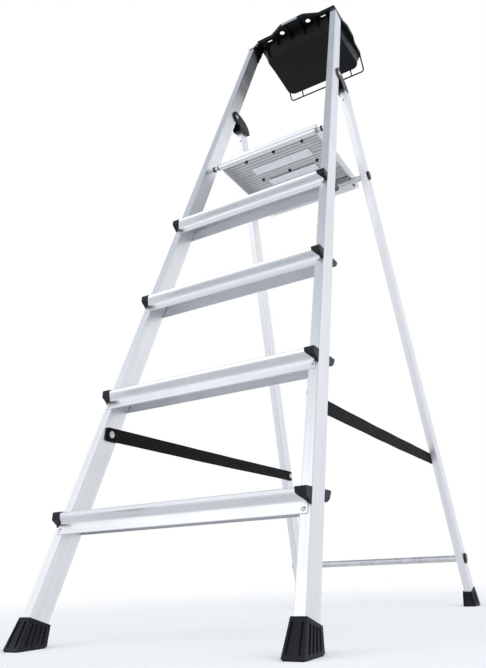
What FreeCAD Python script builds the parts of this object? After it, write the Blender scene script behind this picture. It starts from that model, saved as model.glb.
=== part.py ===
"""Step ladder with platform, rear support frame and tool tray.

Axes: +X right, +Y to the rear, +Z up, origin on the floor under the middle.
All sizes are in millimetres.
"""
import math
import os

import FreeCAD
import Part

V = FreeCAD.Vector

# Shift that puts the origin under the middle of the footprint
DATUM_SHIFT = -3.95

# Front frame
FRONT_LEAN = math.radians(19.45)
FRONT_Y0 = -498.0
FRONT_HALF = 256.7
FRONT_TAPER = 0.0566
STILE_B = 19.0
STILE_D = 42.0
STILE_WALL = 1.8
STILE_TOP = 1727.0
STILE_LOW = 20.0
FRONT_SLOPE = math.tan(FRONT_LEAN)
STILE_DY = STILE_D / math.cos(FRONT_LEAN)

# Steps
STEP_Z1 = 207.8
STEP_RISE = 235.0
STEP_COUNT = 4
NOSE = 22.0
LIP = 6.5
COVE = 18.5
FLANGE = 35.2
SHEET = 2.2
CAP_LENGTH = 18.0
CAP_RISE = 1.8

# Rear frame
REAR_LEAN = math.radians(16.71)
REAR_Y0 = 468.3
REAR_HALF = 248.5
REAR_TAPER = 0.0496
LEG_B = 18.0
LEG_D = 36.0
LEG_WALL = 1.6
LEG_TOP = 1353.0
LEG_LOW = 12.0
REAR_SLOPE = math.tan(REAR_LEAN)
LEG_DY = LEG_D / math.cos(REAR_LEAN)
BAR_R = 8.0
BAR_WALL = 1.5
LOWER_BAR_Z = 113.0
UPPER_BAR_Z = 1114.0
BAR_CAP_R = 12.5

# Hinge between stiles and rear legs
PIVOT_Y = 26.5
PIVOT_Z = 1383.0
PIVOT_R = 4.0
EAR_R = 16.5
EAR_OUT = (179.9, 182.4)
EAR_IN = (154.7, 157.2)
WEB_Y = 50.0

# Platform
DECK_TOP = 1147.8
DECK_LOW = 1121.0
DECK_FRONT = -78.0
DECK_REAR = 205.0
DECK_HALF = 144.5
SIDE_T = 3.0
FASCIA_T = 3.0
RIB_DEPTH = 5.0
ROD_Y = -82.0
ROD_Z = 1122.5
ROD_R = 5.0
KNUCKLE_R = 7.5
RUN = 0.05

# Tray
TRAY_FLOOR = 1730.0
TRAY_RIM = 1788.0
TRAY_T = 2.5
RIM_FRONT = 143.0
RIM_HALF = 146.0
RIM_GRIP = 152.0
RIM_REAR = 388.0
SHELF_Z = 1776.0
SHELF_T = 3.0
HOLE_R = 8.0
HOLE_X = 48.0
HOLE_Y = 147.0
WIRE_R = 2.5
WIRE_X = 143.0

# Straps
STRAP_Z = 357.0
STRAP_H = 27.0
STRAP_T = 1.6

# Play of plastic plugs inside the hollow profiles
PLUG_GAP = 0.4

PARTS = {}


def stile_x(z):
    """Outer half width of the front frame at height z."""
    return FRONT_HALF - FRONT_TAPER * z


def stile_y(z):
    """Front face of the stiles at height z."""
    return FRONT_Y0 + FRONT_SLOPE * z


def leg_x(z):
    """Outer half width of the rear frame at height z."""
    return REAR_HALF - REAR_TAPER * z


def leg_y(z):
    """Front face of the rear legs at height z."""
    return REAR_Y0 - REAR_SLOPE * z


def leg_mid_y(z):
    return leg_y(z) + 0.5 * LEG_DY


def mirrored(shape):
    return shape.mirror(V(0, 0, 0), V(1, 0, 0))


def box(x0, x1, y0, y1, z0, z1):
    low = V(min(x0, x1), min(y0, y1), min(z0, z1))
    return Part.makeBox(abs(x1 - x0), abs(y1 - y0), abs(z1 - z0), low)


def x_cylinder(radius, x0, x1, y, z):
    return Part.makeCylinder(radius, x1 - x0, V(x0, y, z), V(1, 0, 0))


def x_prism(points, x0, x1):
    """Profile given as (y, z) pairs, extruded along X."""
    corners = [V(x0, y, z) for y, z in points]
    face = Part.Face(Part.makePolygon(corners + [corners[0]]))
    return face.extrude(V(x1 - x0, 0, 0))


def y_prism(points, y0, y1):
    """Profile given as (x, z) pairs, extruded along Y."""
    corners = [V(x, y0, z) for x, z in points]
    face = Part.Face(Part.makePolygon(corners + [corners[0]]))
    return face.extrude(V(0, y1 - y0, 0))


def z_prism(points, z0, z1):
    """Profile given as (x, y) pairs, extruded along Z."""
    corners = [V(x, y, z0) for x, y in points]
    face = Part.Face(Part.makePolygon(corners + [corners[0]]))
    return face.extrude(V(0, 0, z1 - z0))


def leaning(shape, origin, axis, rearward):
    """Move a shape drawn upright at the origin onto a leaning member."""
    z_dir = V(axis)
    z_dir.normalize()
    y_dir = V(rearward)
    y_dir.normalize()
    x_dir = y_dir.cross(z_dir)
    x_dir.normalize()
    turn = FreeCAD.Matrix(
        x_dir.x, y_dir.x, z_dir.x, origin.x,
        x_dir.y, y_dir.y, z_dir.y, origin.y,
        x_dir.z, y_dir.z, z_dir.z, origin.z,
        0, 0, 0, 1)
    moved = shape.copy()
    moved.Placement = FreeCAD.Placement(turn)
    return moved


def on_stile(shape):
    origin = V(FRONT_HALF, FRONT_Y0, 0)
    axis = V(-FRONT_TAPER, FRONT_SLOPE, 1)
    rearward = V(0, math.cos(FRONT_LEAN), -math.sin(FRONT_LEAN))
    return leaning(shape, origin, axis, rearward)


def on_leg(shape):
    origin = V(REAR_HALF, REAR_Y0, 0)
    axis = V(-REAR_TAPER, -REAR_SLOPE, 1)
    rearward = V(0, math.cos(REAR_LEAN), math.sin(REAR_LEAN))
    return leaning(shape, origin, axis, rearward)


def rounded_bar(x0, x1, y0, y1, z0, z1, radius):
    """Upright bar with its four long edges rounded."""
    bar = box(x0, x1, y0, y1, z0, z1)
    edges = [e for e in bar.Edges if abs(e.Vertexes[0].Z - e.Vertexes[1].Z) > 1.0]
    return bar.makeFillet(radius, edges)


def stile_solid(low, high):
    """Right stile as a solid bar between two distances along its axis."""
    return on_stile(box(-STILE_B, 0, 0, STILE_D, low, high))


def leg_solid(low, high):
    return on_leg(box(-LEG_B, 0, 0, LEG_D, low, high))


STILE_LONG = math.sqrt(1 + FRONT_TAPER ** 2 + FRONT_SLOPE ** 2)
LEG_LONG = math.sqrt(1 + REAR_TAPER ** 2 + REAR_SLOPE ** 2)


def make_stile():
    top = STILE_TOP * STILE_LONG
    wall = STILE_WALL
    outside = rounded_bar(-STILE_B, 0, 0, STILE_D, STILE_LOW, top, 2.0)
    inside = rounded_bar(wall - STILE_B, -wall, wall, STILE_D - wall, 0, top + 5, 1.0)
    tube = on_stile(outside.cut(inside))
    pin_hole = x_cylinder(PIVOT_R + RUN, 100, 260, PIVOT_Y, PIVOT_Z)
    rod_hole = x_cylinder(ROD_R, 100, stile_x(ROD_Z) - 6, ROD_Y, ROD_Z)
    strap_hole = x_cylinder(2.2, 180, stile_x(STRAP_Z) - 6, strap_front_y(), STRAP_Z)
    tube = tube.cut(pin_hole).cut(rod_hole).cut(strap_hole)
    for level in step_levels():
        for shank in step_shanks(level):
            tube = tube.cut(shank)
    return tube


def make_leg():
    top = LEG_TOP * LEG_LONG
    wall = LEG_WALL
    outside = rounded_bar(-LEG_B, 0, 0, LEG_D, LEG_LOW, top, 2.0)
    inside = rounded_bar(wall - LEG_B, -wall, wall, LEG_D - wall, 0, top + 5, 1.0)
    tube = on_leg(outside.cut(inside))
    for z in (LOWER_BAR_Z, UPPER_BAR_Z):
        tube = tube.cut(x_cylinder(BAR_R, 100, 300, leg_mid_y(z), z))
    strap_hole = x_cylinder(2.2, 180, leg_x(STRAP_Z) - 6, strap_rear_y(), STRAP_Z)
    return tube.cut(strap_hole).cut(collar_shank())


# ---- steps -----------------------------------------------------------------

def step_levels():
    return [STEP_Z1 + STEP_RISE * i for i in range(STEP_COUNT)]


def plane_y(dz):
    """Front plane of the stiles, relative to its place at tread height."""
    return FRONT_SLOPE * dz


def nose_outline():
    """Front nose down to the top of the flange, as (y, z) from the tread edge."""
    steps = 6
    points = [(0.0, 0.0), (-NOSE + 1.2, 0.0), (-NOSE, -1.2), (-NOSE, -LIP)]
    end_y = plane_y(-COVE) - SHEET
    for i in range(1, steps + 1):
        t = i / steps
        y = -NOSE + (end_y + NOSE) * math.sin(t * math.pi / 2) ** 1.25
        z = -LIP - (COVE - LIP) * t ** 0.85
        points.append((y, z))
    return points


def flange_outline():
    return [
        (plane_y(-COVE) - SHEET, -COVE), (plane_y(-FLANGE + 0.6) - SHEET, -FLANGE + 0.6),
        (plane_y(-FLANGE) - SHEET + 0.7, -FLANGE), (plane_y(-FLANGE), -FLANGE),
    ]


def rear_point(point):
    """Front half of the step section carried over to the rear half."""
    y, z = point
    return (STILE_DY + 2 * plane_y(z) - y, z)


def step_sections():
    """Closed outlines: full front nose with flange, and the hollow inside it."""
    nose = nose_outline()
    flange = flange_outline()
    outer = nose + flange + [(plane_y(-SHEET), -SHEET)]
    hollow = [(plane_y(-SHEET) - 1.6, -SHEET), (-NOSE + 2.0, -SHEET), (-NOSE + 2.0, -LIP + 0.4)]
    for y, z in nose[5:]:
        hollow.append((min(y + 1.9, plane_y(z) - 1.2), z + 1.0))
    return outer, hollow


def rivet_spots(level):
    """Centre and outward direction of the rivets on the right stile's front and rear faces."""
    low = level - 29.5
    high = level - 25.2
    out = V(0, -math.cos(FRONT_LEAN), math.sin(FRONT_LEAN))
    front = V(stile_x(low) - 11.5, stile_y(low), low)
    rear = V(stile_x(high) - 11.5, stile_y(high) + STILE_DY, high)
    return [(front, out), (rear, out * -1.0)]


def step_shanks(level):
    """Rivet shanks through the flanges into the right stile."""
    return [Part.makeCylinder(2.1, 14.0, spot + out * 2.6, out * -1.0) for spot, out in rivet_spots(level)]


def step_rivets(level):
    rivets = []
    for spot, out in rivet_spots(level):
        base = spot + out * flange_gap()
        dome = Part.makeSphere(5.8, base - out * 4.3)
        head = dome.common(Part.makeCylinder(5.0, 4.0, base, out))
        shank = Part.makeCylinder(2.1, 8.0, base, out * -1.0)
        rivets.append(head.fuse(shank).removeSplitter())
    return rivets + [mirrored(r) for r in rivets]


def flange_gap():
    """Flange thickness square to the stile's face."""
    return SHEET * math.cos(FRONT_LEAN)


def cap_window(level):
    """Front view of the end cap's place: (x, z) corners on the right side."""
    def at(depth, inward):
        return (stile_x(level - depth) - inward, level - depth)

    return [
        at(-6.0, CAP_LENGTH), at(-6.0, -8.0), at(23.0, -8.0), at(23.0, 2.6),
        at(20.6, 2.6), at(20.2, 6.0), at(17.8, 6.9), at(7.0, CAP_LENGTH),
    ]


def cap_outline():
    """Side view of the end cap, as (y, z) from the tread edge, with its thin lower tail."""
    return [
        (0.0, CAP_RISE), (-NOSE + 1.6, CAP_RISE), (-NOSE, CAP_RISE - 1.6), (-NOSE, -10.5),
        (-NOSE + 1.2, -12.2), (plane_y(-20.5) - SHEET, -20.5), (plane_y(-26.0) - SHEET, -26.0),
        (plane_y(-26.0), -26.0), (0.0, 0.0),
    ]


def make_step(level):
    outer, hollow = step_sections()
    y0 = stile_y(level)
    length = stile_x(level - FLANGE) + 4.0

    def put(points):
        return x_prism([(y0 + y, level + z) for y, z in points], -length, length)

    front = put(outer).cut(put(hollow))
    back = put([rear_point(p) for p in outer]).cut(put([rear_point(p) for p in hollow]))
    tread = put([
        (0.0, 0.0), (plane_y(-SHEET), -SHEET), (STILE_DY + plane_y(-SHEET), -SHEET), (STILE_DY, 0.0)])
    step = front.fuse(tread).fuse(back)
    for i in range(9):
        y = y0 - NOSE + 5.0 + i * (STILE_DY + 2 * NOSE - 10.0) / 8
        step = step.cut(box(-length, length, y - 0.9, y + 0.9, level - 0.7, level + 1))
    window = y_prism(cap_window(level), y0 - 60, y0 + STILE_DY + 60)
    low = (level - 80) * STILE_LONG
    high = (level + 60) * STILE_LONG
    ends = on_stile(box(-5.5, 60, -200, 200, low, high))
    stile = stile_solid(low, high)
    for cutter in (window, ends, stile):
        step = step.cut(cutter).cut(mirrored(cutter))
    for shank in step_shanks(level):
        step = step.cut(shank).cut(mirrored(shank))
    return step.removeSplitter()


def make_caps(level):
    """Front and rear end caps of one step, right side."""
    outline = cap_outline()
    y0 = stile_y(level)
    x0 = stile_x(level) - CAP_LENGTH - 5
    x1 = stile_x(level) + 12
    front = x_prism([(y0 + y, level + z) for y, z in outline], x0, x1)
    rear = [rear_point(p) for p in outline]
    back = x_prism([(y0 + y, level + z) for y, z in rear], x0, x1)
    back = back.cut(box(x0, x1, y0, y0 + 120, level - 60, level - 16.5))
    window = y_prism(cap_window(level), y0 - 60, y0 + STILE_DY + 60)
    low = (level - 80) * STILE_LONG
    high = (level + 60) * STILE_LONG
    slab = on_stile(box(-40, 0.0, -200, 200, low, high))
    stile = stile_solid(low, high)
    caps = []
    for cap in (front, back):
        cap = cap.common(window).common(slab).cut(stile)
        caps.append(max(cap.Solids, key=lambda s: s.Volume))
    return caps


# ---- feet ------------------------------------------------------------------

def lerp(a, b, t):
    return a + (b - a) * t


def bilinear(corners, u, v):
    """Point on a four-cornered face; u runs across, v runs down."""
    top = lerp(corners[0], corners[1], u)
    low = lerp(corners[3], corners[2], u)
    return lerp(top, low, v)


def make_foot(x_out, y_front, lean_y, depth_dy, top_front, top_rear, width, flare, member):
    """Flared boot around the lower end of a right-hand leg."""
    wall = 2.0
    x_in = x_out - width
    top = [
        V(x_in - wall, lean_y(top_front) - wall, top_front),
        V(x_out + wall, lean_y(top_front) - wall, top_front),
        V(x_out + wall, lean_y(top_rear) + depth_dy + wall, top_rear),
        V(x_in - wall, lean_y(top_rear) + depth_dy + wall, top_rear),
    ]
    sole_z = 2.0
    low = [
        V(x_in - flare, y_front - flare, sole_z),
        V(x_out + flare, y_front - flare, sole_z),
        V(x_out + flare, y_front + depth_dy + flare, sole_z),
        V(x_in - flare, y_front + depth_dy + flare, sole_z),
    ]
    wires = [Part.makePolygon(w + [w[0]]) for w in (low, top)]
    boot = Part.makeLoft(wires, True, True)
    for face, across, depth in foot_panels(top, low):
        boot = boot.cut(panel_cutter(face, across, depth))
    inset = 0.6
    sole = box(
        low[0].x + inset, low[1].x - inset, low[0].y + inset, low[2].y - inset, 0.0, sole_z + 0.5)
    edges = [e for e in sole.Edges if abs(e.Vertexes[0].Z - e.Vertexes[1].Z) > 1.0]
    sole = sole.makeFillet(3.0, edges)
    for i in range(5):
        y = lerp(low[0].y, low[2].y, (i + 1) / 6)
        sole = sole.cut(box(low[0].x, low[1].x, y - 1.5, y + 1.5, -1.0, 1.4))
    boot = boot.fuse(sole)
    return boot.cut(member).removeSplitter()


def foot_panels(top, low):
    """Two slots beside a middle column in front, one recess behind, grooves in the sides."""
    front = [top[0], top[1], low[1], low[0]]
    rear = [top[2], top[3], low[3], low[2]]
    outer = [top[1], top[2], low[2], low[1]]
    inner = [top[3], top[0], low[0], low[3]]
    panels = [
        (front, (0.13, 0.31, 0.13, 0.90), 2.1), (front, (0.73, 0.86, 0.13, 0.90), 2.1),
        (rear, (0.17, 0.83, 0.24, 0.86), 1.8),
    ]
    for face in (outer, inner):
        for i in range(4):
            start = 0.16 + 0.19 * i
            panels.append((face, (start, start + 0.11, 0.13, 0.90), 1.4))
    return panels


def panel_cutter(face, across, depth):
    """Prism that sinks a panel of one face; the corner order gives the inward normal."""
    u0, u1, v0, v1 = across
    corners = [bilinear(face, u, v) for u, v in ((u0, v0), (u1, v0), (u1, v1), (u0, v1))]
    normal = (corners[1] - corners[0]).cross(corners[3] - corners[0])
    normal.normalize()
    middle = V(0, 0, 0)
    for c in corners:
        middle = middle + c * 0.25
    flat = [c - normal * (c - middle).dot(normal) for c in corners]
    wire = Part.makePolygon([c - normal * 2.0 for c in flat] + [flat[0] - normal * 2.0])
    return Part.Face(wire).extrude(normal * (2.0 + depth))


def front_foot():
    member = stile_solid(STILE_LOW, 200.0)
    return make_foot(
        FRONT_HALF - 2.6, stile_y(0), stile_y, STILE_DY, 47.5, 33.0, STILE_B + 0.8, 6.3, member)


def rear_foot():
    member = leg_solid(LEG_LOW, 200.0)
    return make_foot(
        REAR_HALF - 1.8, leg_y(0), leg_y, LEG_DY, 34.0, 44.5, LEG_B + 0.8, 6.3, member)


# ---- rear frame ------------------------------------------------------------

def make_bar(z):
    end = leg_x(z) + 1.2
    y = leg_mid_y(z)
    tube = x_cylinder(BAR_R, -end, end, y, z)
    return tube.cut(x_cylinder(BAR_R - BAR_WALL, -end - 1, end + 1, y, z))


def make_bar_cap(z):
    """Domed end cap with its plug inside the bar."""
    end = leg_x(z) + 1.2
    y = leg_mid_y(z)
    disc = x_cylinder(BAR_CAP_R, end, end + 3.6, y, z)
    rim = [e for e in disc.Edges if e.Length > 50 and abs(e.CenterOfMass.x - end - 3.6) < 0.1]
    disc = disc.makeFillet(1.8, rim)
    plug = x_cylinder(BAR_R - BAR_WALL, end - 14, end + 1, y, z)
    return disc.fuse(plug).removeSplitter()


def hinge_outline():
    return [
        (PIVOT_Y - 10.0, PIVOT_Z - 12.0), (PIVOT_Y - 6.0, PIVOT_Z + 15.0), (50.0, 1399.5),
        (74.0, 1393.5), (89.0, 1383.0), (96.5, 1370.0), (98.5, 1358.5), (52.0, 1343.5),
        (PIVOT_Y + 13.0, PIVOT_Z - 20.0),
    ]


def bevelled_outline():
    """Outline on the outer side, drawn in along its upper and rear edges."""
    return [
        (PIVOT_Y - 10.0, PIVOT_Z - 12.0), (PIVOT_Y - 6.0, PIVOT_Z + 11.0), (47.0, 1392.0),
        (66.0, 1385.0), (79.5, 1376.0), (87.5, 1365.0), (90.5, 1356.0), (52.0, 1343.5),
        (PIVOT_Y + 13.0, PIVOT_Z - 20.0),
    ]


def make_hinge_block():
    """Forked plastic head of the right rear leg; the two ears straddle the stile."""
    x0 = EAR_OUT[1] - 5.0
    body = x_prism(hinge_outline(), EAR_IN[0], x0)
    rings = []
    for x, outline in ((x0, hinge_outline()), (EAR_OUT[1], bevelled_outline())):
        points = [V(x, y, z) for y, z in outline]
        rings.append(Part.makePolygon(points + [points[0]]))
    body = body.fuse(Part.makeLoft(rings, True, True))
    body = body.fuse(x_cylinder(EAR_R, EAR_IN[0], EAR_OUT[1], PIVOT_Y, PIVOT_Z))
    slot = box(EAR_IN[1], EAR_OUT[0], -60, WEB_Y, 1300, 1450)
    body = body.cut(slot)
    low = LEG_TOP * LEG_LONG
    below = on_leg(box(-60, 60, -60, 120, low - 60, low))
    body = body.cut(below)
    wall = LEG_WALL + PLUG_GAP
    plug = on_leg(box(wall - LEG_B, -wall, wall, LEG_D - wall, low - 45, low + 4))
    pocket = on_leg(box(3.5 - LEG_B, -3.5, 5.0, LEG_D - 5.0, low - 46, low - 8))
    body = body.fuse(plug.cut(pocket))
    taper = y_prism([(140, 1340), (EAR_IN[0] + 6.5, 1340), (EAR_IN[0], 1362), (140, 1362)], 0, 130)
    body = body.cut(taper)
    body = body.cut(x_cylinder(PIVOT_R + RUN, 100, 260, PIVOT_Y, PIVOT_Z))
    body = body.cut(collar_shank())
    solid = max(body.Solids, key=lambda s: s.Volume)
    return solid.removeSplitter()


def collar_spot():
    """Centre of the rivet that holds the hinge block in the leg."""
    z = LEG_TOP - 25.0
    return V(leg_x(z) - 0.66 * LEG_B, leg_y(z), z)


def collar_shank():
    out = V(0, -math.cos(REAR_LEAN), -math.sin(REAR_LEAN))
    return Part.makeCylinder(2.0, 24.0, collar_spot() + out * 1.0, out * -1.0)


def collar_rivet():
    out = V(0, -math.cos(REAR_LEAN), -math.sin(REAR_LEAN))
    spot = collar_spot()
    dome = Part.makeSphere(5.0, spot - out * 3.4)
    head = dome.common(Part.makeCylinder(4.2, 3.0, spot, out))
    shank = Part.makeCylinder(2.0, 12.0, spot, out * -1.0)
    return head.fuse(shank).removeSplitter()


def make_hinge_pin():
    """Rivet through both ears and the stile."""
    pin = x_cylinder(PIVOT_R, EAR_IN[0] - 0.3, EAR_OUT[1] + 0.3, PIVOT_Y, PIVOT_Z)
    inner = domed_x(EAR_IN[0], -1, PIVOT_Y, PIVOT_Z, 6.5, 2.2)
    outer = domed_x(EAR_OUT[1], 1, PIVOT_Y, PIVOT_Z, 6.5, 2.2)
    return pin.fuse(inner).fuse(outer).removeSplitter()


def domed_x(x, sign, y, z, radius, height):
    """Shallow dome with its flat side at x, bulging along sign * X."""
    ball = (radius * radius + height * height) / (2 * height)
    sphere = Part.makeSphere(ball, V(x + sign * (height - ball), y, z))
    keep = Part.makeCylinder(radius + 1, height + 1, V(x, y, z), V(sign, 0, 0))
    return sphere.common(keep)


# ---- platform --------------------------------------------------------------

def make_board(y0, y1):
    """Ribbed deck board, lower ribs running along X."""
    x = DECK_HALF - SIDE_T
    board = box(-x, x, y0, y1, DECK_TOP - 2.4, DECK_TOP)
    ribs = 9
    for i in range(ribs):
        y = y0 + 2.2 + i * (y1 - y0 - 4.4) / (ribs - 1)
        board = board.fuse(box(-x, x, y - 0.9, y + 0.9, DECK_TOP - RIB_DEPTH, DECK_TOP - 2.0))
    for i in range(8):
        y = y0 + 6.0 + i * (y1 - y0 - 12.0) / 7
        board = board.cut(box(-x, x, y - 1.2, y + 1.2, DECK_TOP - 0.8, DECK_TOP + 1))
    for plug in board_plugs(y0, y1):
        board = board.cut(plug)
    return board.removeSplitter()


def board_plugs(y0, y1):
    """Three black plugs along the middle of one board, seen from below."""
    y = 0.5 * (y0 + y1) - 12.5
    low = DECK_TOP - 6.0
    return [Part.makeCylinder(4.2, 3.4, V(x, y, low)) for x in (-85.0, 0.0, 85.0)]


def make_fascia():
    """Front skin with the knuckle along its foot that turns on the pivot rod."""
    x = DECK_HALF - SIDE_T
    shell = box(-x, x, DECK_FRONT, DECK_FRONT + FASCIA_T, DECK_LOW + 1, DECK_TOP)
    shell = shell.fuse(x_cylinder(KNUCKLE_R, -x, x, ROD_Y, ROD_Z))
    shell = shell.cut(x_cylinder(ROD_R + RUN, -x, x, ROD_Y, ROD_Z))
    return shell.removeSplitter()


def make_deck_side():
    """Right side plate with the knuckle eye and the saddle over the rear bar."""
    x0 = DECK_HALF - SIDE_T
    x1 = DECK_HALF
    front = DECK_FRONT
    plate = box(x0, x1, front, DECK_REAR, DECK_LOW, DECK_TOP)
    plate = plate.fuse(x_cylinder(KNUCKLE_R, x0, x1, ROD_Y, ROD_Z))
    plate = plate.cut(x_cylinder(ROD_R + RUN, x0 - 1, x1 + 1, ROD_Y, ROD_Z))
    bar_y = leg_mid_y(UPPER_BAR_Z)
    saddle_z = UPPER_BAR_Z + BAR_R + 0.5
    plate = plate.cut(box(x0 - 1, x1 + 1, bar_y - 11, bar_y + BAR_R + 1.2, 1090, saddle_z))
    return plate.removeSplitter()


def make_deck_hook():
    """Rear profile; its lower half stands behind the rear bar."""
    x = DECK_HALF - SIDE_T - 6.0
    y0 = leg_mid_y(UPPER_BAR_Z) + BAR_R + 1.2
    low = UPPER_BAR_Z + 8.0
    top = DECK_TOP - RIB_DEPTH - 1.2
    outer = box(-x, x, y0, DECK_REAR - 1, low, top)
    inner = box(-x, x, y0 + 2.2, DECK_REAR - 3.2, low + 2.2, top - 2.2)
    shell = outer.cut(inner)
    tabs = box(-x - 6.0, x + 6.0, y0, DECK_REAR - 1, top - 2.2, top)
    return shell.fuse(tabs).removeSplitter()


def make_rod():
    end = stile_x(ROD_Z) - 0.5 * STILE_B
    return x_cylinder(ROD_R, -end, end, ROD_Y, ROD_Z)


def make_rod_bush():
    """Black bush and retaining ring on the right end of the rod."""
    bush = x_cylinder(7.2, 159.0, 163.0, ROD_Y, ROD_Z).cut(x_cylinder(ROD_R, 150, 170, ROD_Y, ROD_Z))
    ring = x_cylinder(6.6, 147.0, 148.6, ROD_Y, ROD_Z).cut(x_cylinder(ROD_R, 140, 160, ROD_Y, ROD_Z))
    return [bush, ring]


# ---- tray ------------------------------------------------------------------

def rounded_plan(half_front, half_rear, y0, y1, radius, z):
    """Closed wire of the tray in plan, narrower in front, rounded corners."""
    corners = [V(-half_front, y0, z), V(half_front, y0, z), V(half_rear, y1, z), V(-half_rear, y1, z)]
    edges = []
    count = len(corners)
    starts = []
    for i in range(count):
        here = corners[i]
        back = corners[i - 1] - here
        ahead = corners[(i + 1) % count] - here
        back.normalize()
        ahead.normalize()
        angle = back.getAngle(ahead)
        reach = radius / math.tan(angle / 2)
        bisector = back + ahead
        bisector.normalize()
        middle = here + bisector * (radius / math.sin(angle / 2) - radius)
        starts.append((here + back * reach, middle, here + ahead * reach))
    for i in range(count):
        a, m, b = starts[i]
        edges.append(Part.Arc(a, m, b).toShape())
        edges.append(Part.makeLine(b, starts[(i + 1) % count][0]))
    return Part.Wire(edges)


def tray_loft(grow, low, high, radius):
    bottom = rounded_plan(128 + grow, 136 + grow, 177 - grow, 371 + grow, radius, low)
    top = rounded_plan(137 + grow, 141 + grow, 162 - grow, 379 + grow, radius + 2, high)
    return Part.makeLoft([bottom, top], True, True)


def rim_outline(grow, z):
    """Plan of the rim: front edge stepped forward in the middle, a grip bulge on each side."""
    right = [
        (41.0, RIM_FRONT - 22.0), (88.0, RIM_FRONT), (RIM_HALF - 2, RIM_FRONT), (RIM_HALF, 212.0),
        (RIM_GRIP, 238.0), (RIM_GRIP, 288.0), (RIM_HALF, 314.0), (RIM_HALF, RIM_REAR - 20),
        (RIM_HALF - 20, RIM_REAR),
    ]
    points = right + [(-x, y) for x, y in reversed(right)]
    wire = Part.makePolygon([V(x, y, z) for x, y in points + [points[0]]])
    if grow == 0:
        return wire
    return wire.makeOffset2D(grow)


def shelf_ribs():
    """Gussets between the basin's front wall and the rim, and collars round the tool holes."""
    ribs = []
    for x in (-112.0, -74.0, -24.0, 24.0, 74.0, 112.0):
        reach = RIM_FRONT - 22.0 if abs(x) < 41.0 else RIM_FRONT
        profile = [
            (reach + 4.0, SHELF_Z + 0.5), (reach + 4.0, SHELF_Z - 2.0), (163.0, SHELF_Z - 22.0),
            (168.0, SHELF_Z - 22.0), (168.0, SHELF_Z + 0.5)]
        if 41.0 < abs(x) < 88.0:
            profile[0] = (137.0, SHELF_Z + 0.5)
            profile[1] = (137.0, SHELF_Z - 2.0)
        ribs.append(x_prism(profile, x - 1.0, x + 1.0))
    return ribs


def make_tray():
    rim = Part.Face(rim_outline(0, SHELF_Z)).extrude(V(0, 0, TRAY_RIM - SHELF_Z))
    upright = [e for e in rim.Edges if abs(e.Vertexes[0].Z - e.Vertexes[1].Z) > 5]
    rim = rim.makeFillet(4.0, upright)
    lip_inside = Part.Face(rim_outline(-2.6, SHELF_Z + SHELF_T)).extrude(V(0, 0, 40))
    rim = rim.cut(lip_inside)
    shell = tray_loft(0.0, TRAY_FLOOR, SHELF_Z + SHELF_T, 24.0)
    hollow = tray_loft(-TRAY_T, TRAY_FLOOR + TRAY_T, SHELF_Z + SHELF_T + 12, 22.0)
    tray = rim.fuse(shell)
    for side in (1, -1):
        tray = tray.fuse(stile_socket(side))
    for rib in shelf_ribs():
        tray = tray.fuse(rib)
    tray = tray.cut(hollow)
    for x in (-HOLE_X, HOLE_X):
        tray = tray.cut(Part.makeCylinder(HOLE_R, 60, V(x, HOLE_Y, SHELF_Z - 20)))
        slot_x = x * 2.08
        tray = tray.cut(box(slot_x - 8.5, slot_x + 8.5, 152.5, 158.5, SHELF_Z - 20, SHELF_Z + 20))
    return tray.removeSplitter()


def stile_socket(side):
    """Boss of the tray over the top of a stile, with a lug down its inner face."""
    top = STILE_TOP * STILE_LONG
    boss = on_stile(box(-STILE_B - 4.0, 0.0, 0.0, STILE_D, top, top + 70))
    front = 3.0
    rear = STILE_D - 2.0
    cheek = [(front, top + 30), (front, top - 4), (rear, top - 30), (rear, top + 30)]
    lug = on_stile(x_prism(cheek, -STILE_B - 4.0, -STILE_B))
    wall = STILE_WALL + PLUG_GAP
    plug = on_stile(box(wall - STILE_B, -wall, wall, STILE_D - wall, top - 20, top + 10))
    boss = boss.fuse(lug).fuse(plug)
    top_z = SHELF_Z + SHELF_T
    boss = boss.cut(box(0, 260, 0, 400, top_z, top_z + 200))
    slant = [(170, STILE_TOP + 8), (RIM_HALF + 13, STILE_TOP + 8), (RIM_HALF, top_z), (170, top_z + 20)]
    boss = boss.cut(y_prism(slant, 0, 400))
    front = RIM_FRONT - 9.0
    brow = [(0, 1735), (front - 15, 1735), (front, SHELF_Z - 16), (front + 9, top_z), (0, top_z + 20)]
    boss = boss.cut(x_prism(brow, 0, 300))
    return boss if side > 0 else mirrored(boss)


def make_tray_plate():
    """Blank name plate on the forward part of the rim."""
    y = RIM_FRONT - 22.0
    return box(-38.0, 20.0, y - 1.2, y, SHELF_Z + 1.5, TRAY_RIM - 1.5)


def make_tray_screws():
    """Screw heads that hold the tray's lugs to the inner faces of the stiles."""
    screws = []
    for reach, drop in ((13.0, 2.0), (30.0, 15.0)):
        z = STILE_TOP - drop
        along = V(-FRONT_TAPER, FRONT_SLOPE, 1).normalize()
        origin = V(FRONT_HALF, FRONT_Y0, 0)
        rearward = V(0, math.cos(FRONT_LEAN), -math.sin(FRONT_LEAN))
        outward = rearward.cross(along).normalize()
        spot = origin + along * (z * STILE_LONG) + rearward * reach - outward * (STILE_B + 4.0)
        head = Part.makeCylinder(3.0, 1.8, spot, outward * -1.0)
        screws.append(head)
        screws.append(mirrored(head))
    return screws


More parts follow.
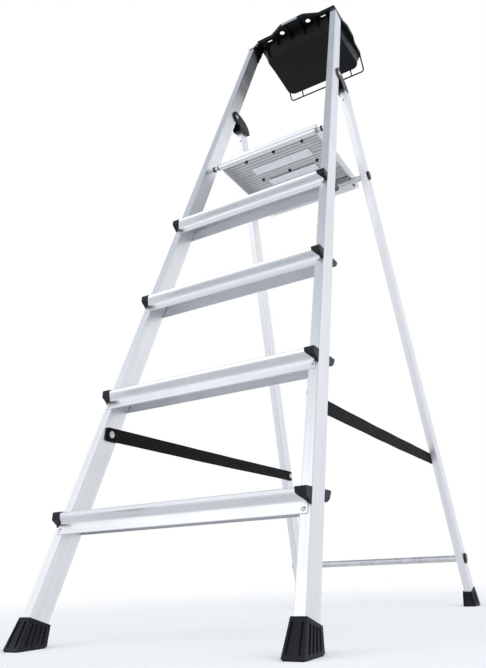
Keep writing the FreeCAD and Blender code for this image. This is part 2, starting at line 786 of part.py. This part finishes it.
def swept(points, radius, bend):
    """Round wire along a line of points with rounded bends."""
    edges = []
    start = points[0]
    for i in range(1, len(points) - 1):
        here = points[i]
        back = (points[i - 1] - here).normalize()
        ahead = (points[i + 1] - here).normalize()
        angle = back.getAngle(ahead)
        reach = bend / math.tan(angle / 2)
        bisector = (back + ahead).normalize()
        middle = here + bisector * (bend / math.sin(angle / 2) - bend)
        a = here + back * reach
        b = here + ahead * reach
        edges.append(Part.makeLine(start, a))
        edges.append(Part.Arc(a, middle, b).toShape())
        start = b
    edges.append(Part.makeLine(start, points[-1]))
    path = Part.Wire(edges)
    direction = (points[1] - points[0]).normalize()
    circle = Part.Wire(Part.makeCircle(radius, points[0], direction))
    return path.makePipeShell([circle], True, False)


def make_rack():
    """Wire rack hanging behind the tray: long loop and two uprights."""
    top_z = SHELF_Z + 0.5
    loop = swept([
        V(-WIRE_X, 368.0, top_z), V(-WIRE_X, 394.0, 1726.0), V(WIRE_X, 394.0, 1726.0),
        V(WIRE_X, 368.0, top_z)], WIRE_R, 9.0)
    rack = loop
    for x in (-96.0, 96.0):
        foot = V(x, 394.0, 1726.0)
        head = V(x, 384.0, top_z)
        rod = Part.makeCylinder(WIRE_R - 0.3, (head - foot).Length, foot, head - foot)
        rack = rack.fuse(rod)
    return rack.removeSplitter()


# ---- straps ----------------------------------------------------------------

def strap_front_y():
    return stile_y(STRAP_Z) + 0.5 * STILE_DY


def strap_rear_y():
    return leg_mid_y(STRAP_Z) + 2.0


def inner_x(z, front):
    """Inner face of the stile or leg at height z."""
    if front:
        return stile_x(z) - STILE_B * STILE_LONG / math.sqrt(1 + FRONT_SLOPE ** 2)
    return leg_x(z) - LEG_B * LEG_LONG / math.sqrt(1 + REAR_SLOPE ** 2)


def strap_face(front):
    """Plane against which the strap lies: the inner face at its widest reach."""
    z = STRAP_Z + 0.5 * STRAP_H
    if front:
        z = z + STILE_D * math.sin(FRONT_LEAN)
    return inner_x(z, front) - 0.1


def make_strap():
    x0 = strap_face(True)
    x1 = strap_face(False)
    y0 = strap_front_y() - 13.5
    y1 = strap_rear_y() + 9.0
    low = STRAP_Z - 0.5 * STRAP_H
    corners = [(x0, y0), (x1, y1), (x1 - STRAP_T, y1), (x0 - STRAP_T, y0)]
    strap = z_prism(corners, low, low + STRAP_H)
    for y in (strap_front_y(), strap_rear_y()):
        strap = strap.cut(x_cylinder(2.2, 150, 260, y, STRAP_Z))
    return strap


def strap_rivet(front):
    """Washer, dome and shank of the rivet at one end of the right strap."""
    y = strap_front_y() if front else strap_rear_y()
    x = strap_face(front) - STRAP_T - 0.25
    washer = x_cylinder(6.5, x - 1.0, x, y, STRAP_Z)
    head = domed_x(x - 1.0, -1, y, STRAP_Z, 4.0, 1.6)
    shank = x_cylinder(2.1, x - 0.5, x + 8.0, y, STRAP_Z)
    return washer.fuse(head).fuse(shank).removeSplitter()


# ---- assembly --------------------------------------------------------------

def add(name, *shapes):
    PARTS[name] = shapes[0] if len(shapes) == 1 else Part.makeCompound(list(shapes))


def add_pair(name, *shapes):
    add(name + "_right", *shapes)
    add(name + "_left", *[mirrored(s) for s in shapes])


def build():
    add_pair("front_stile", make_stile())
    for number, level in enumerate(step_levels(), 1):
        add("step_%d" % number, make_step(level))
        add_pair("step_%d_caps" % number, *make_caps(level))
        add("step_%d_rivets" % number, *step_rivets(level))
    add_pair("front_foot", front_foot())
    add_pair("rear_leg", make_leg())
    add_pair("rear_foot", rear_foot())
    for name, z in (("lower_bar", LOWER_BAR_Z), ("upper_bar", UPPER_BAR_Z)):
        add(name, make_bar(z))
        add_pair(name + "_cap", make_bar_cap(z))
    add_pair("hinge_block", make_hinge_block())
    add_pair("hinge_pin", make_hinge_pin())
    rivet = collar_rivet()
    add("hinge_block_rivets", rivet, mirrored(rivet))
    start = DECK_FRONT + FASCIA_T
    pitch = (DECK_REAR - start) / 3
    boards = [(start + pitch * i, start + pitch * (i + 1)) for i in range(3)]
    for name, ends in zip(("front", "middle", "rear"), boards):
        add("deck_board_" + name, make_board(*ends))
    add("deck_plugs", *[plug for ends in boards for plug in board_plugs(*ends)])
    add("deck_fascia", make_fascia())
    add("deck_hook", make_deck_hook())
    add_pair("deck_side", make_deck_side())
    add("pivot_rod", make_rod())
    add_pair("pivot_bush", *make_rod_bush())
    add("tray", make_tray())
    add("tray_plate", make_tray_plate())
    add("tray_screws", *make_tray_screws())
    add("tray_rack", make_rack())
    add_pair("strap", make_strap())
    for name, front in (("front", True), ("rear", False)):
        rivet = strap_rivet(front)
        add("strap_rivets_" + name, rivet, mirrored(rivet))


os.makedirs("parts", exist_ok=True)
build()
for name, shape in PARTS.items():
    shape = shape.copy()
    shape.translate(V(0, DATUM_SHIFT, 0))
    shape.exportStep("parts/%s.step" % name)
    size = shape.BoundBox
    print("%-20s solids %d valid %s volume %.0f x %.1f..%.1f y %.1f..%.1f z %.1f..%.1f" % (
        name, len(shape.Solids), shape.isValid(), shape.Volume, size.XMin, size.XMax,
        size.YMin, size.YMax, size.ZMin, size.ZMax))
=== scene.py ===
"""Step ladder: materials, webbing, labels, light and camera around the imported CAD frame."""

import math

import bmesh
import bpy
from mathutils import Matrix, Vector


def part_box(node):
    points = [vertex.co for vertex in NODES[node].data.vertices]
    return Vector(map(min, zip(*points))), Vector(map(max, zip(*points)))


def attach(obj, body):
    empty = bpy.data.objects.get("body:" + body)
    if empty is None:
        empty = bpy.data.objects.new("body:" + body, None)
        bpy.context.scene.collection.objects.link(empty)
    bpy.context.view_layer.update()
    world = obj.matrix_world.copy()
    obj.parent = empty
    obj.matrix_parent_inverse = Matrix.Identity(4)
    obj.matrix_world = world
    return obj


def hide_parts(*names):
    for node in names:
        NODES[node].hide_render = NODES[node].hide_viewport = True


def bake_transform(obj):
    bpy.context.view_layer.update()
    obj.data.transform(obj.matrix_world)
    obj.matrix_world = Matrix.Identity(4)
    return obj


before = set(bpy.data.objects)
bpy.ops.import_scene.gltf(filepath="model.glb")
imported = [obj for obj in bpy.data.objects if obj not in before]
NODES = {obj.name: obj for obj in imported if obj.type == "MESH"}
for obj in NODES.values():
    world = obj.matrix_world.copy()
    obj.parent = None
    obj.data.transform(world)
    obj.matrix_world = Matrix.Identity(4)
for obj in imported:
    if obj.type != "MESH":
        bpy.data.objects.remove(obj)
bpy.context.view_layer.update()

SIDES = ((1, "right"), (-1, "left"))
STEPS = ["step_%d" % i for i in range(1, 5)]

# Directions of the extruded members, from the front frame's and rear frame's lean and taper
FRONT_LEAN = math.radians(19.45)
FRONT_TAPER = 0.0566
REAR_LEAN = math.radians(16.71)
REAR_TAPER = 0.0496

# Linear colours; a pair is the two tones that a surface drifts between
BRIGHT_ALUMINIUM = (0.90, 0.91, 0.925)
DULL_ALUMINIUM = (0.74, 0.75, 0.76)
SCRATCH = (0.62, 0.63, 0.65)
ZINC = ((0.55, 0.56, 0.57), (0.74, 0.75, 0.76))
SPANGLE = (0.86, 0.87, 0.88)
RIVET = ((0.50, 0.51, 0.52), (0.74, 0.75, 0.76))
CAP_PLASTIC = ((0.006, 0.008, 0.011), (0.011, 0.014, 0.019))
BLOCK_PLASTIC = ((0.005, 0.006, 0.008), (0.010, 0.011, 0.014))
# Tray plastic: its own black, made darker still as painted shade of the tray's basin walls
TRAY_PLASTIC_AND_SHADE = ((0.0015, 0.0022, 0.0034), (0.0035, 0.0045, 0.0065))
DUST = (0.10, 0.10, 0.10)
RUBBER = ((0.005, 0.006, 0.009), (0.012, 0.014, 0.018))
FLOOR_DIRT = (0.07, 0.066, 0.060)
POLYESTER = ((0.0030, 0.0030, 0.0036), (0.0080, 0.0080, 0.0092))
WORN_POLYESTER = (0.016, 0.016, 0.018)
LABEL_FILM = ((0.93, 0.94, 0.97), (0.84, 0.86, 0.92))
# Plate on the tray's rim: light blue-grey film whose pale tone partly paints the rim's edge
# highlight
PLATE_HIGHLIGHT_FILM = ((0.30, 0.36, 0.44), (0.44, 0.50, 0.58))
WIRE_COAT = ((0.006, 0.006, 0.007), (0.018, 0.018, 0.020))


# ---- node helpers ------------------------------------------------------------

def add_node(tree, kind, inputs=None, **settings):
    """New shader node; an input is a value or an output socket to link."""
    node = tree.nodes.new("ShaderNode" + kind)
    for key, value in settings.items():
        setattr(node, key, value)
    for key, value in (inputs or {}).items():
        if isinstance(value, bpy.types.NodeSocket):
            tree.links.new(value, node.inputs[key])
        else:
            node.inputs[key].default_value = value
    return node


def new_material(name, **sockets):
    """Material with a Principled shader whose constant values are set on its own sockets."""
    material = bpy.data.materials.new(name)
    material.use_nodes = True
    tree = material.node_tree
    tree.nodes.clear()
    shader = add_node(tree, "BsdfPrincipled")
    output = add_node(tree, "OutputMaterial")
    tree.links.new(shader.outputs["BSDF"], output.inputs["Surface"])
    for key, value in sockets.items():
        shader.inputs[key.replace("_", " ")].default_value = value
    point = add_node(tree, "TexCoord").outputs["Object"]
    return material, tree, shader, point


def noise(tree, vector, scale, detail=2.0, rough=0.5):
    node = add_node(tree, "TexNoise", {
        "Vector": vector, "Scale": scale, "Detail": detail, "Roughness": rough})
    return node.outputs["Fac"]


def specks(tree, point, scale):
    """Distance to the nearest of many scattered spots."""
    return add_node(tree, "TexVoronoi", {"Vector": point, "Scale": scale}).outputs["Distance"]


def span(tree, value, low, high, to_low, to_high):
    """Map a value's range onto another, clamped at both ends."""
    node = add_node(tree, "MapRange", {
        "Value": value, "From Min": low, "From Max": high, "To Min": to_low, "To Max": to_high})
    return node.outputs["Result"]


def calc(tree, operation, first, second=0.0):
    return add_node(tree, "Math", {0: first, 1: second}, operation=operation).outputs[0]


def blend_colour(tree, factor, first, second):
    node = add_node(tree, "Mix", {"Factor": factor}, data_type="RGBA")
    for index, value in ((6, first), (7, second)):
        if isinstance(value, bpy.types.NodeSocket):
            tree.links.new(value, node.inputs[index])
        else:
            node.inputs[index].default_value = (*value, 1.0)
    return node.outputs[2]


def drift(tree, value, low, high, tones):
    """Colour that goes from the first tone to the second as a value goes from low to high."""
    return blend_colour(tree, span(tree, value, low, high, 0.0, 1.0), *tones)


def stretched(tree, point, axis, across, along):
    """Coordinates scaled by one factor across an axis and another along it."""
    axis = Vector(axis).normalized()
    dot = add_node(tree, "VectorMath", {0: point, 1: tuple(axis)}, operation="DOT_PRODUCT")
    line = add_node(tree, "VectorMath", {0: tuple(axis)}, operation="SCALE")
    tree.links.new(dot.outputs["Value"], line.inputs["Scale"])
    side = add_node(tree, "VectorMath", {0: point, 1: line.outputs[0]}, operation="SUBTRACT")
    wide = add_node(tree, "VectorMath", {0: side.outputs[0], "Scale": across}, operation="SCALE")
    slim = add_node(tree, "VectorMath", {0: line.outputs[0], "Scale": along}, operation="SCALE")
    total = add_node(tree, "VectorMath", {0: wide.outputs[0], 1: slim.outputs[0]}, operation="ADD")
    return total.outputs[0]


def drawn_lines(tree, point, axis, across, along, detail=2.0):
    """Noise pulled out along an axis, like the marks of extruding or drawing."""
    return noise(tree, stretched(tree, point, axis, across, along), 1.0, detail)


def surface(tree, shader, colour, roughness, *layers):
    """Link colour, roughness and bump layers, each (height, strength, distance in metres)."""
    tree.links.new(colour, shader.inputs["Base Color"])
    tree.links.new(roughness, shader.inputs["Roughness"])
    normal = None
    for height, strength, distance in layers:
        inputs = {"Height": height, "Strength": strength, "Distance": distance}
        if normal is not None:
            inputs["Normal"] = normal
        normal = add_node(tree, "Bump", inputs).outputs["Normal"]
    tree.links.new(normal, shader.inputs["Normal"])


# ---- materials ----------------------------------------------------------------

def scratches(tree, point, axis, width):
    """Sparse thin marks that run slightly off an axis."""
    axis = (axis[0] + 0.06, axis[1] + 0.05, axis[2])
    lines = drawn_lines(tree, point, axis, 260.0, 11.0, 1.0)
    patches = noise(tree, point, 7.0, 1.0)
    thin = span(tree, lines, 0.70, 0.70 + width, 0.0, 1.0)
    return calc(tree, "MULTIPLY", thin, span(tree, patches, 0.52, 0.62, 0.0, 1.0))


def darker(colour, factor):
    return tuple(c * factor for c in colour)


def aluminium(name, axis, tint=BRIGHT_ALUMINIUM, rough=0.26):
    """Mill-finish extrusion: die lines along the axis, faint smears and a few scratches."""
    material, tree, shader, point = new_material(name, Metallic=1.0)
    fine = drawn_lines(tree, point, axis, 1500.0, 3.0)
    broad = drawn_lines(tree, point, axis, 190.0, 1.2)
    smear = noise(tree, point, 11.0, 4.0, 0.6)
    marks = scratches(tree, point, axis, 0.05)
    dull = darker(tint, 0.93)
    base = drift(tree, broad, 0.32, 0.68, (dull, tint))
    base = blend_colour(tree, span(tree, smear, 0.55, 0.75, 0.0, 0.35), base, darker(dull, 0.95))
    base = blend_colour(tree, span(tree, marks, 0.0, 1.0, 0.0, 0.5), base, SCRATCH)
    polish = calc(tree, "ADD", span(tree, smear, 0.3, 0.7, rough - 0.05, rough + 0.07),
                  span(tree, fine, 0.3, 0.7, -0.03, 0.05))
    surface(tree, shader, base, polish,
            (broad, 0.03, 0.0003), (fine, 0.05, 0.0001), (marks, -0.18, 0.0001))
    return material


def galvanised(name, axis):
    """Zinc plated tube: drawn lines, soft grey blotches and small bright spangle."""
    material, tree, shader, point = new_material(name, Metallic=1.0)
    fine = drawn_lines(tree, point, axis, 1400.0, 8.0)
    blotch = noise(tree, point, 60.0, 3.0, 0.6)
    base = drift(tree, blotch, 0.35, 0.65, ZINC)
    crystals = span(tree, specks(tree, point, 330.0), 0.0, 0.25, 0.3, 0.0)
    base = blend_colour(tree, crystals, base, SPANGLE)
    surface(tree, shader, base, span(tree, blotch, 0.3, 0.7, 0.26, 0.44),
            (blotch, 0.10, 0.0003), (fine, 0.14, 0.0001))
    return material


def rivet_metal(name):
    """Small domed heads: tumbled finish with fine nicks."""
    material, tree, shader, point = new_material(name, Metallic=1.0)
    nicks = noise(tree, point, 900.0, 3.0, 0.6)
    tone = noise(tree, point, 160.0, 2.0)
    surface(tree, shader, drift(tree, tone, 0.35, 0.65, RIVET),
            span(tree, nicks, 0.3, 0.7, 0.22, 0.42), (nicks, 0.22, 0.0001))
    return material


def moulded(name, tones, rough, grain, specular):
    """Moulded plastic: spark-eroded grain, flow shading and dust specks on what faces up."""
    material, tree, shader, point = new_material(name, Specular_IOR_Level=specular)
    pebble = noise(tree, point, grain, 3.0, 0.55)
    flow = noise(tree, point, 14.0, 3.0, 0.6)
    normal = add_node(tree, "NewGeometry").outputs["Normal"]
    upward = add_node(tree, "SeparateXYZ", {0: normal}).outputs["Z"]
    base = drift(tree, flow, 0.3, 0.7, tones)
    grit = span(tree, specks(tree, point, 240.0), 0.05, 0.11, 0.30, 0.0)
    dust = calc(tree, "MULTIPLY", grit, span(tree, upward, 0.1, 0.9, 0.15, 1.0))
    base = blend_colour(tree, dust, base, DUST)
    polish = calc(tree, "ADD", span(tree, flow, 0.3, 0.7, rough - 0.05, rough + 0.06),
                  span(tree, pebble, 0.3, 0.7, -0.03, 0.05))
    surface(tree, shader, base, polish, (flow, 0.03, 0.0005), (pebble, 0.22, 0.0001))
    return material


def foot_rubber():
    """Matt rubber, greyer and dustier near the floor."""
    material, tree, shader, point = new_material("foot_rubber_look", Specular_IOR_Level=0.22)
    pebble = noise(tree, point, 620.0, 3.0, 0.6)
    cloud = noise(tree, point, 38.0, 4.0, 0.6)
    height = add_node(tree, "SeparateXYZ", {0: point}).outputs["Z"]
    base = drift(tree, cloud, 0.35, 0.7, RUBBER)
    low = calc(tree, "MULTIPLY", span(tree, height, 0.0, 0.016, 0.55, 0.0),
               span(tree, cloud, 0.4, 0.7, 0.2, 1.0))
    base = blend_colour(tree, low, base, FLOOR_DIRT)
    surface(tree, shader, base, span(tree, cloud, 0.3, 0.7, 0.42, 0.60),
            (cloud, 0.10, 0.0006), (pebble, 0.35, 0.00018))
    return material


def ridges(tree, coordinate, pitch, offset=0.0):
    """Sine wave of a given pitch in metres along a coordinate."""
    turns = calc(tree, "MULTIPLY", coordinate, 2 * math.pi / pitch)
    return calc(tree, "SINE", calc(tree, "ADD", turns, offset))


def webbing():
    """Woven polyester: warp and weft ridges, a fuzzy surface and worn patches."""
    material, tree, shader, point = new_material(
        "strap_webbing_look", Sheen_Weight=0.04, Sheen_Roughness=0.4, Specular_IOR_Level=0.15)
    place = add_node(tree, "SeparateXYZ", {0: point}).outputs
    warp = ridges(tree, place["Z"], 0.0022)
    weft = ridges(tree, place["Y"], 0.0016, calc(tree, "MULTIPLY", warp, 1.2))
    weave = calc(tree, "MULTIPLY", calc(tree, "ADD", warp, 1.2), calc(tree, "ADD", weft, 1.6))
    fuzz = noise(tree, point, 1300.0, 3.0, 0.7)
    wear = noise(tree, point, 24.0, 3.0, 0.6)
    base = drift(tree, weave, 0.2, 4.5, POLYESTER)
    base = blend_colour(tree, span(tree, wear, 0.55, 0.8, 0.0, 0.4), base, WORN_POLYESTER)
    surface(tree, shader, base, span(tree, fuzz, 0.3, 0.7, 0.66, 0.86),
            (weave, 0.55, 0.0002), (fuzz, 0.25, 0.0001))
    return material


def label_film():
    """Blank label: white film with a faint grey-blue tone and fine creases."""
    material, tree, shader, point = new_material(
        "label_film_look", Coat_Weight=0.3, Coat_Roughness=0.25)
    tone = noise(tree, point, 55.0, 3.0, 0.6)
    crease = noise(tree, point, 480.0, 2.0)
    surface(tree, shader, drift(tree, tone, 0.35, 0.7, LABEL_FILM),
            span(tree, crease, 0.3, 0.7, 0.32, 0.5), (crease, 0.15, 0.00015))
    return material


def plate_highlight_film():
    """Blank blue-grey plate on the tray's rim, glossy with fine hairlines; its light tone also
    paints the highlight along the rim's lower front edge.
    """
    material, tree, shader, point = new_material(
        "plate_highlight_look", Coat_Weight=0.6, Coat_Roughness=0.1)
    hairlines = drawn_lines(tree, point, (1, 0, 0), 400.0, 30.0)
    surface(tree, shader, drift(tree, hairlines, 0.3, 0.7, PLATE_HIGHLIGHT_FILM),
            span(tree, hairlines, 0.3, 0.7, 0.25, 0.4), (hairlines, 0.15, 0.0001))
    return material


def rack_wire():
    """Dip-coated wire: slightly uneven glossy black coat."""
    material, tree, shader, point = new_material("rack_wire_look", Specular_IOR_Level=0.35)
    runs = noise(tree, point, 130.0, 3.0, 0.6)
    surface(tree, shader, drift(tree, runs, 0.35, 0.7, WIRE_COAT),
            span(tree, runs, 0.3, 0.7, 0.28, 0.45), (runs, 0.25, 0.0004))
    return material


def member_axis(taper, lean, side, sign):
    """Unit direction of a stile or leg; side is +1 on the right, sign +1 for the front frame."""
    return Vector((-taper * side, math.tan(lean) * sign, 1.0)).normalized()


def dress(material, *names):
    for name in names:
        slots = NODES[name].data.materials
        slots.clear()
        slots.append(material)


def pair(name):
    """The names of a left and right pair of nodes."""
    return [name + "_" + word for _, word in SIDES]


def dress_frames():
    for side, word in SIDES:
        axis = member_axis(FRONT_TAPER, FRONT_LEAN, side, 1)
        dress(aluminium("stile_look_" + word, axis, rough=0.36), "front_stile_" + word)
        axis = member_axis(REAR_TAPER, REAR_LEAN, side, -1)
        dress(aluminium("leg_look_" + word, axis, rough=0.36), "rear_leg_" + word)
    across = (1, 0, 0)
    dress(aluminium("step_look", across, rough=0.3), *STEPS)
    dress(aluminium("deck_look", across, DULL_ALUMINIUM, 0.36),
          "deck_board_front", "deck_board_middle", "deck_board_rear", "deck_hook")
    dress(aluminium("fascia_look", across, rough=0.3), "deck_fascia")
    dress(aluminium("deck_side_look", (0, 1, 0), DULL_ALUMINIUM, 0.34), *pair("deck_side"))
    dress(galvanised("tube_look", across), "lower_bar", "upper_bar", "pivot_rod")


def dress_fittings():
    dress(rivet_metal("rivet_look"), *pair("hinge_pin"), "hinge_block_rivets",
          "strap_rivets_front", "strap_rivets_rear", *[step + "_rivets" for step in STEPS])
    caps = moulded("cap_look", CAP_PLASTIC, 0.42, 900.0, 0.26)
    for step in STEPS:
        dress(caps, *pair(step + "_caps"))
    dress(moulded("block_look", BLOCK_PLASTIC, 0.34, 700.0, 0.30), *pair("hinge_block"),
          "deck_plugs", *pair("pivot_bush"), "tray_screws", *pair("lower_bar_cap"),
          *pair("upper_bar_cap"))
    # The tray's extra-dark tone is partly painted shade of its basin walls
    dress(moulded("tray_shaded_look", TRAY_PLASTIC_AND_SHADE, 0.36, 1100.0, 0.16), "tray")
    # The tray plate's light tone is partly a painted highlight along the rim's lower front edge
    dress(plate_highlight_film(), "tray_plate")
    dress(rack_wire(), "tray_rack")
    dress(foot_rubber(), *pair("front_foot"), *pair("rear_foot"))


# ---- straps ---------------------------------------------------------------------

STRAP_THICK = 0.0016
STRAP_SAG = 0.001
STRAP_RIPPLE = 0.0005
STRAP_BOW = 0.0002
STRAP_TWIST = 0.05
STRAP_CORNER = 0.002
STRAP_STEPS = 150
STRAP_ROWS = 8
EDGE_STEPS = 4


def strap_section(width, thick):
    """Closed loop (across, out) of the webbing: flat faces and round selvedges."""
    edge = thick / 2
    flat = width / 2 - edge
    loop = []
    for sign in (1, -1):
        for i in range(STRAP_ROWS + 1):
            loop.append((sign * (-flat + 2 * flat * i / STRAP_ROWS), sign * edge))
        for i in range(1, EDGE_STEPS):
            a = math.pi * i / EDGE_STEPS
            loop.append((sign * (flat + edge * math.sin(a)), sign * edge * math.cos(a)))
    return loop


def end_scale(distance, radius, width):
    """Width factor near a cut end with rounded corners."""
    if distance >= radius:
        return 1.0
    reach = radius - distance
    drop = radius - math.sqrt(max(radius * radius - reach * reach, 0.0))
    return 1.0 - 2 * drop / width


def loft(mesh, rings):
    """Faces from each ring of points to the next, and a cap on each end."""
    count = len(rings[0])
    for first, second in zip(rings, rings[1:]):
        for j in range(count):
            k = (j + 1) % count
            mesh.faces.new((first[j], first[k], second[k], second[j]))
    mesh.faces.new(rings[0])
    mesh.faces.new(list(reversed(rings[-1])))
    bmesh.ops.recalc_face_normals(mesh, faces=mesh.faces)


def make_strap(word, side, material):
    """Webbing from the stile to the rear leg, hanging a little low in the middle."""
    name = "strap_" + word
    low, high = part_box(name)
    near = max(abs(low.x), abs(high.x))
    far = min(abs(low.x), abs(high.x)) + STRAP_THICK
    middle = 0.5 * (low.z + high.z)
    width = high.z - low.z
    length = high.y - low.y
    mesh = bmesh.new()
    rings = []
    for i in range(STRAP_STEPS + 1):
        t = i / STRAP_STEPS
        reach = t * length
        ease = math.sin(math.pi * min(max((t - 0.03) / 0.94, 0.0), 1.0))
        ripple = STRAP_RIPPLE * ease * math.sin(31.0 * t + side)
        x = near + (far - near) * t - STRAP_THICK / 2 - ripple - STRAP_BOW * ease
        z = middle - STRAP_SAG * ease * ease
        twist = STRAP_TWIST * ease * math.sin(5.3 * t + 0.7 * side)
        factor = end_scale(min(reach, length - reach), STRAP_CORNER, width)
        ring = []
        for across, out in strap_section(width, STRAP_THICK):
            across = across * factor
            ring.append(mesh.verts.new((
                side * (x + out * math.cos(twist) - across * math.sin(twist)),
                low.y + reach,
                z + across * math.cos(twist) + out * math.sin(twist))))
        rings.append(ring)
    loft(mesh, rings)
    strap = add_mesh("webbing_" + word, mesh, material)
    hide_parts(name)
    x = side * near
    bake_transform(strap)


def add_mesh(name, mesh, material, smooth=True):
    """Turn a bmesh into a named object with one material."""
    data = bpy.data.meshes.new(name)
    mesh.to_mesh(data)
    mesh.free()
    for face in data.polygons:
        face.use_smooth = smooth
    data.materials.append(material)
    item = bpy.data.objects.new(name, data)
    bpy.context.scene.collection.objects.link(item)
    return item


# ---- labels under the platform ----------------------------------------------------

LABEL_THICK = 0.0002
LABEL_CORNER = 0.004
LABEL_GAP = 0.0001
RIB_DEPTH = 0.005
# Name, then the ends along X and along Y
LABELS = (
    ("label_front", (-0.089, 0.088), (-0.011, 0.019)),
    ("label_rear", (-0.073, 0.076), (0.056, 0.083)),
)


def rounded_rectangle(x_ends, y_ends, radius, steps=5):
    """Points round a rectangle, counter-clockwise from its right side."""
    (x0, x1), (y0, y1) = x_ends, y_ends
    corners = ((x1 - radius, y1 - radius, 0), (x0 + radius, y1 - radius, 90),
               (x0 + radius, y0 + radius, 180), (x1 - radius, y0 + radius, 270))
    points = []
    for cx, cy, start in corners:
        for i in range(steps + 1):
            a = math.radians(start + 90 * i / steps)
            points.append((cx + radius * math.cos(a), cy + radius * math.sin(a)))
    return points


def make_label(name, x_ends, y_ends, material):
    """Thin film stuck across the ribs under the boards."""
    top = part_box("deck_board_middle")[1].z - RIB_DEPTH - LABEL_GAP
    mesh = bmesh.new()
    outline = rounded_rectangle(x_ends, y_ends, LABEL_CORNER)
    rings = [[mesh.verts.new((x, y, z)) for x, y in outline] for z in (top - LABEL_THICK, top)]
    loft(mesh, rings)
    label = add_mesh(name, mesh, material, smooth=False)
    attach(label, "platform")


# ---- stage ------------------------------------------------------------------------

FLOOR_RADIUS = 9.0
FLOOR_FADE = (0.9, 2.4)
FLOOR_LIFT = 0.18
# Height of the direction, from -1 down to 1 up, and the light that comes from there
WORLD_TONES = (
    (-1.0, (0.64, 0.64, 0.65)), (-0.30, (0.78, 0.79, 0.81)), (-0.10, (0.84, 0.87, 0.90)),
    (0.02, (0.84, 0.87, 0.91)), (0.20, (0.84, 0.87, 0.91)), (0.38, (0.93, 0.95, 0.97)),
    (0.52, (0.88, 0.90, 0.93)), (0.72, (0.65, 0.69, 0.76)), (0.90, (0.48, 0.52, 0.57)),
    (0.98, (0.38, 0.42, 0.47)),
)
CAMERA_PLACE = (0.62378, -1.22124, 0.09976)
CAMERA_RIGHT = (0.87746, 0.47815, -0.03787)
CAMERA_UP = (0.20835, -0.30885, 0.92801)
CAMERA_LENS = 32.62958
CAMERA_SHIFT = (-0.0591, -0.0069)


def make_floor():
    """Pale floor, fading out with distance so that no horizon shows."""
    mesh = bmesh.new()
    bmesh.ops.create_circle(mesh, cap_ends=True, segments=96, radius=FLOOR_RADIUS)
    material = bpy.data.materials.new("floor_look")
    material.use_nodes = True
    tree = material.node_tree
    tree.nodes.clear()
    point = add_node(tree, "TexCoord").outputs["Object"]
    speckle = noise(tree, point, 90.0, 4.0)
    seen = add_node(tree, "LightPath").outputs["Is Camera Ray"]
    tone = blend_colour(tree, seen, (0.84, 0.84, 0.84), (0.96, 0.96, 0.96))
    tone = blend_colour(tree, span(tree, speckle, 0.4, 0.7, 0.0, 0.03), tone, (0.5, 0.5, 0.5))
    diffuse = add_node(tree, "BsdfDiffuse", {"Color": tone, "Roughness": 0.9})
    lift = add_node(tree, "Emission", {"Color": (1, 1, 1, 1), "Strength": FLOOR_LIFT})
    lit = add_node(tree, "AddShader", {0: diffuse.outputs[0], 1: lift.outputs[0]})
    clear = add_node(tree, "BsdfTransparent")
    far = add_node(tree, "VectorMath", {0: point}, operation="LENGTH").outputs["Value"]
    fade = add_node(tree, "MixShader", {
        0: span(tree, far, *FLOOR_FADE, 0.0, 1.0), 1: lit.outputs[0], 2: clear.outputs[0]})
    add_node(tree, "OutputMaterial", {"Surface": fade.outputs[0]})
    floor = add_mesh("floor", mesh, material, smooth=False)


def make_world():
    """White studio for the camera; softer tones by direction for light and reflections."""
    world = bpy.data.worlds.new("studio")
    bpy.context.scene.world = world
    world.use_nodes = True
    tree = world.node_tree
    tree.nodes.clear()
    direction = add_node(tree, "TexCoord").outputs["Generated"]
    height = add_node(tree, "SeparateXYZ", {0: direction}).outputs["Z"]
    ramp = add_node(tree, "ValToRGB", {0: span(tree, height, -1.0, 1.0, 0.0, 1.0)})
    elements = ramp.color_ramp.elements
    while len(elements) < len(WORLD_TONES):
        elements.new(0.5)
    for element, (level, colour) in zip(elements, WORLD_TONES):
        element.position = 0.5 + 0.5 * level
        element.color = (*colour, 1.0)
    toned = add_node(tree, "Background", {"Color": ramp.outputs[0], "Strength": 1.0})
    white = add_node(tree, "Background", {"Color": (1, 1, 1, 1), "Strength": 1.0})
    seen = add_node(tree, "LightPath").outputs["Is Camera Ray"]
    pick = add_node(tree, "MixShader", {0: seen, 1: toned.outputs[0], 2: white.outputs[0]})
    add_node(tree, "OutputWorld", {"Surface": pick.outputs[0]})


def add_softbox(name, place, target, size, watts, colour=(1, 1, 1)):
    """Rectangular area light at a place, turned to face a target."""
    light = bpy.data.lights.new(name, "AREA")
    light.shape = "RECTANGLE"
    light.size, light.size_y = size
    light.energy = watts
    light.color = colour
    item = bpy.data.objects.new(name, light)
    item.location = place
    item.rotation_euler = (Vector(target) - Vector(place)).to_track_quat("-Z", "Y").to_euler()
    bpy.context.scene.collection.objects.link(item)


def make_camera():
    """Low three-quarter view from the right front, looking up."""
    right = Vector(CAMERA_RIGHT)
    back = right.cross(Vector(CAMERA_UP)).normalized()
    up = back.cross(right).normalized()
    turn = Matrix((right, up, back)).transposed().to_4x4()
    data = bpy.data.cameras.new("view")
    data.sensor_width = 36.0
    data.lens = CAMERA_LENS
    data.shift_x, data.shift_y = CAMERA_SHIFT
    data.clip_start = 0.01
    camera = bpy.data.objects.new("view", data)
    camera.matrix_world = Matrix.Translation(CAMERA_PLACE) @ turn
    bpy.context.scene.collection.objects.link(camera)
    bpy.context.scene.camera = camera


# ---- build ------------------------------------------------------------------------

dress_frames()
dress_fittings()
strap_material = webbing()
for side, word in SIDES:
    make_strap(word, side, strap_material)
film = label_film()
for name, x_ends, y_ends in LABELS:
    make_label(name, x_ends, y_ends, film)
make_floor()
make_world()
add_softbox("key_softbox", (-1.5, -3.0, 2.2), (0, -0.1, 0.8), (2.4, 2.6), 10.5)
add_softbox("rear_softbox", (0.95, 2.1, 3.6), (0, 0.05, 1.6), (1.5, 1.5), 1.2, (0.96, 0.98, 1))
make_camera()
bpy.context.scene.view_settings.view_transform = "Standard"
bpy.context.scene.view_settings.look = "None"
